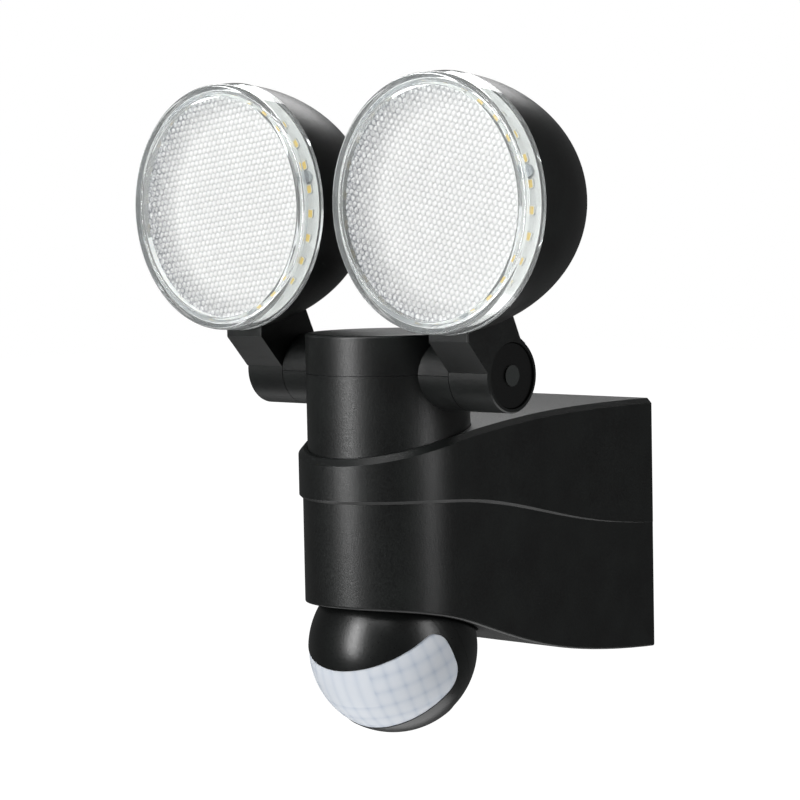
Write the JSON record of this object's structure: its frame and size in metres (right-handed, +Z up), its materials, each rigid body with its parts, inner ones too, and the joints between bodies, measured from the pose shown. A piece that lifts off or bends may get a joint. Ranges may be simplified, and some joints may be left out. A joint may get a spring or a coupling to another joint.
{
  "type": "twin-head security floodlight with motion sensor",
  "caption": "Wall-mounted outdoor LED floodlight: tilting round lamp heads on a swivelling column, with a ball-shaped motion sensor that pans and tilts below.",
  "frame": {"origin": "centre of the wall plate on the wall plane", "axes": "+Y into the wall, -Y the way the lamps face, +Z up"},
  "size_m": [0.216, 0.1689, 0.2666],
  "materials": {
    "black_shell": "fine-grained black moulded plastic",
    "grey_moulding": "grey moulded plastic",
    "foam_seal": "closed-cell foam",
    "rubber_seal": "moulded rubber",
    "zinc_steel": "zinc-plated steel",
    "green_board": "circuit board with green mask",
    "transformer": "ferrite core and taped winding",
    "capacitor_sleeve": "sleeved can",
    "white_board": "white solder mask",
    "led_package": "white package with yellow phosphor",
    "aluminium_plate": "pressed plate",
    "clear_cover": "clear moulded plastic with small prisms",
    "pir_lens": "milky moulded plastic",
    "dial_plastic": "moulded plastic with a driver slot"
  },
  "bodies": {
    "root": {"bracket_housing": "black_shell", "cable_grommet": "rubber_seal", "column_lock_screws": "zinc_steel", "housing_screws": "zinc_steel", "terminal_block": "grey_moulding", "terminal_screws": "zinc_steel", "wall_gasket": "foam_seal", "wall_plate": "grey_moulding"},
    "column": {"column_body": "black_shell", "column_cap": "black_shell", "cap_gasket": "rubber_seal", "cap_screws": "zinc_steel", "driver_board": "green_board", "driver_transformer": "transformer", "driver_capacitor": "capacitor_sleeve", "driver_relay": "grey_moulding", "pivot_bolt_left": "zinc_steel", "pivot_washer_left": "zinc_steel", "pivot_nut_left": "zinc_steel", "pivot_bolt_right": "zinc_steel", "pivot_washer_right": "zinc_steel", "pivot_nut_right": "zinc_steel"},
    "head_right": {"board_screws_right": "zinc_steel", "end_cap_right": "black_shell", "head_shell_right": "black_shell", "heat_sink_right": "aluminium_plate", "led_board_right": "white_board", "leds_right": "led_package", "lens_cover_right": "clear_cover", "lens_gasket_right": "rubber_seal"},
    "head_left": {"board_screws_left": "zinc_steel", "end_cap_left": "black_shell", "head_shell_left": "black_shell", "heat_sink_left": "aluminium_plate", "led_board_left": "white_board", "leds_left": "led_package", "lens_cover_left": "clear_cover", "lens_gasket_left": "rubber_seal"},
    "sensor_yoke": {"sensor_yoke": "grey_moulding", "yoke_clip": "zinc_steel"},
    "sensor_ball": {"sensor_front_shell": "black_shell", "sensor_rear_shell": "black_shell", "ball_screws": "zinc_steel", "pir_lens": "pir_lens", "pir_board": "green_board", "pir_board_screws": "zinc_steel", "pyro_sensor": "zinc_steel", "tilt_pin": "zinc_steel"},
    "dial_time": {"dial_time": "dial_plastic"},
    "dial_light": {"dial_light": "dial_plastic"},
    "dial_range": {"dial_range": "dial_plastic"}
  },
  "joints": [
    {"name": "column_swivel", "type": "hinge", "parent": "root", "child": "column", "pos_m": [0, -0.13, 0.024], "axis": [0, 0, 1], "range_deg": [-45, 45]},
    {"name": "head_right_tilt", "type": "hinge", "parent": "column", "child": "head_right", "pos_m": [0.056, -0.13, 0.073], "axis": [1, 0, 0], "range_deg": [-30, 90]},
    {"name": "head_left_tilt", "type": "hinge", "parent": "column", "child": "head_left", "pos_m": [-0.056, -0.13, 0.073], "axis": [1, 0, 0], "range_deg": [-30, 90]},
    {"name": "sensor_pan", "type": "hinge", "parent": "root", "child": "sensor_yoke", "pos_m": [0, -0.13, 0], "axis": [0, 0, 1], "range_deg": [-90, 90]},
    {"name": "sensor_tilt", "type": "hinge", "parent": "sensor_yoke", "child": "sensor_ball", "pos_m": [0, -0.13, -0.0402], "axis": [1, 0, 0], "range_deg": [-26.5, 18.5]},
    {"name": "dial_time_turn", "type": "hinge", "parent": "sensor_ball", "child": "dial_time", "pos_m": [-0.00936, -0.10051, -0.04838], "axis": [-0.2924, 0.9215, -0.2556], "range_deg": [-135, 135]},
    {"name": "dial_light_turn", "type": "hinge", "parent": "sensor_ball", "child": "dial_light", "pos_m": [0, -0.09916, -0.04875], "axis": [0, 0.9636, -0.2672], "range_deg": [-135, 135]},
    {"name": "dial_range_turn", "type": "hinge", "parent": "sensor_ball", "child": "dial_range", "pos_m": [0.00936, -0.10051, -0.04838], "axis": [0.2924, 0.9215, -0.2556], "range_deg": [-135, 135]}
  ]
}
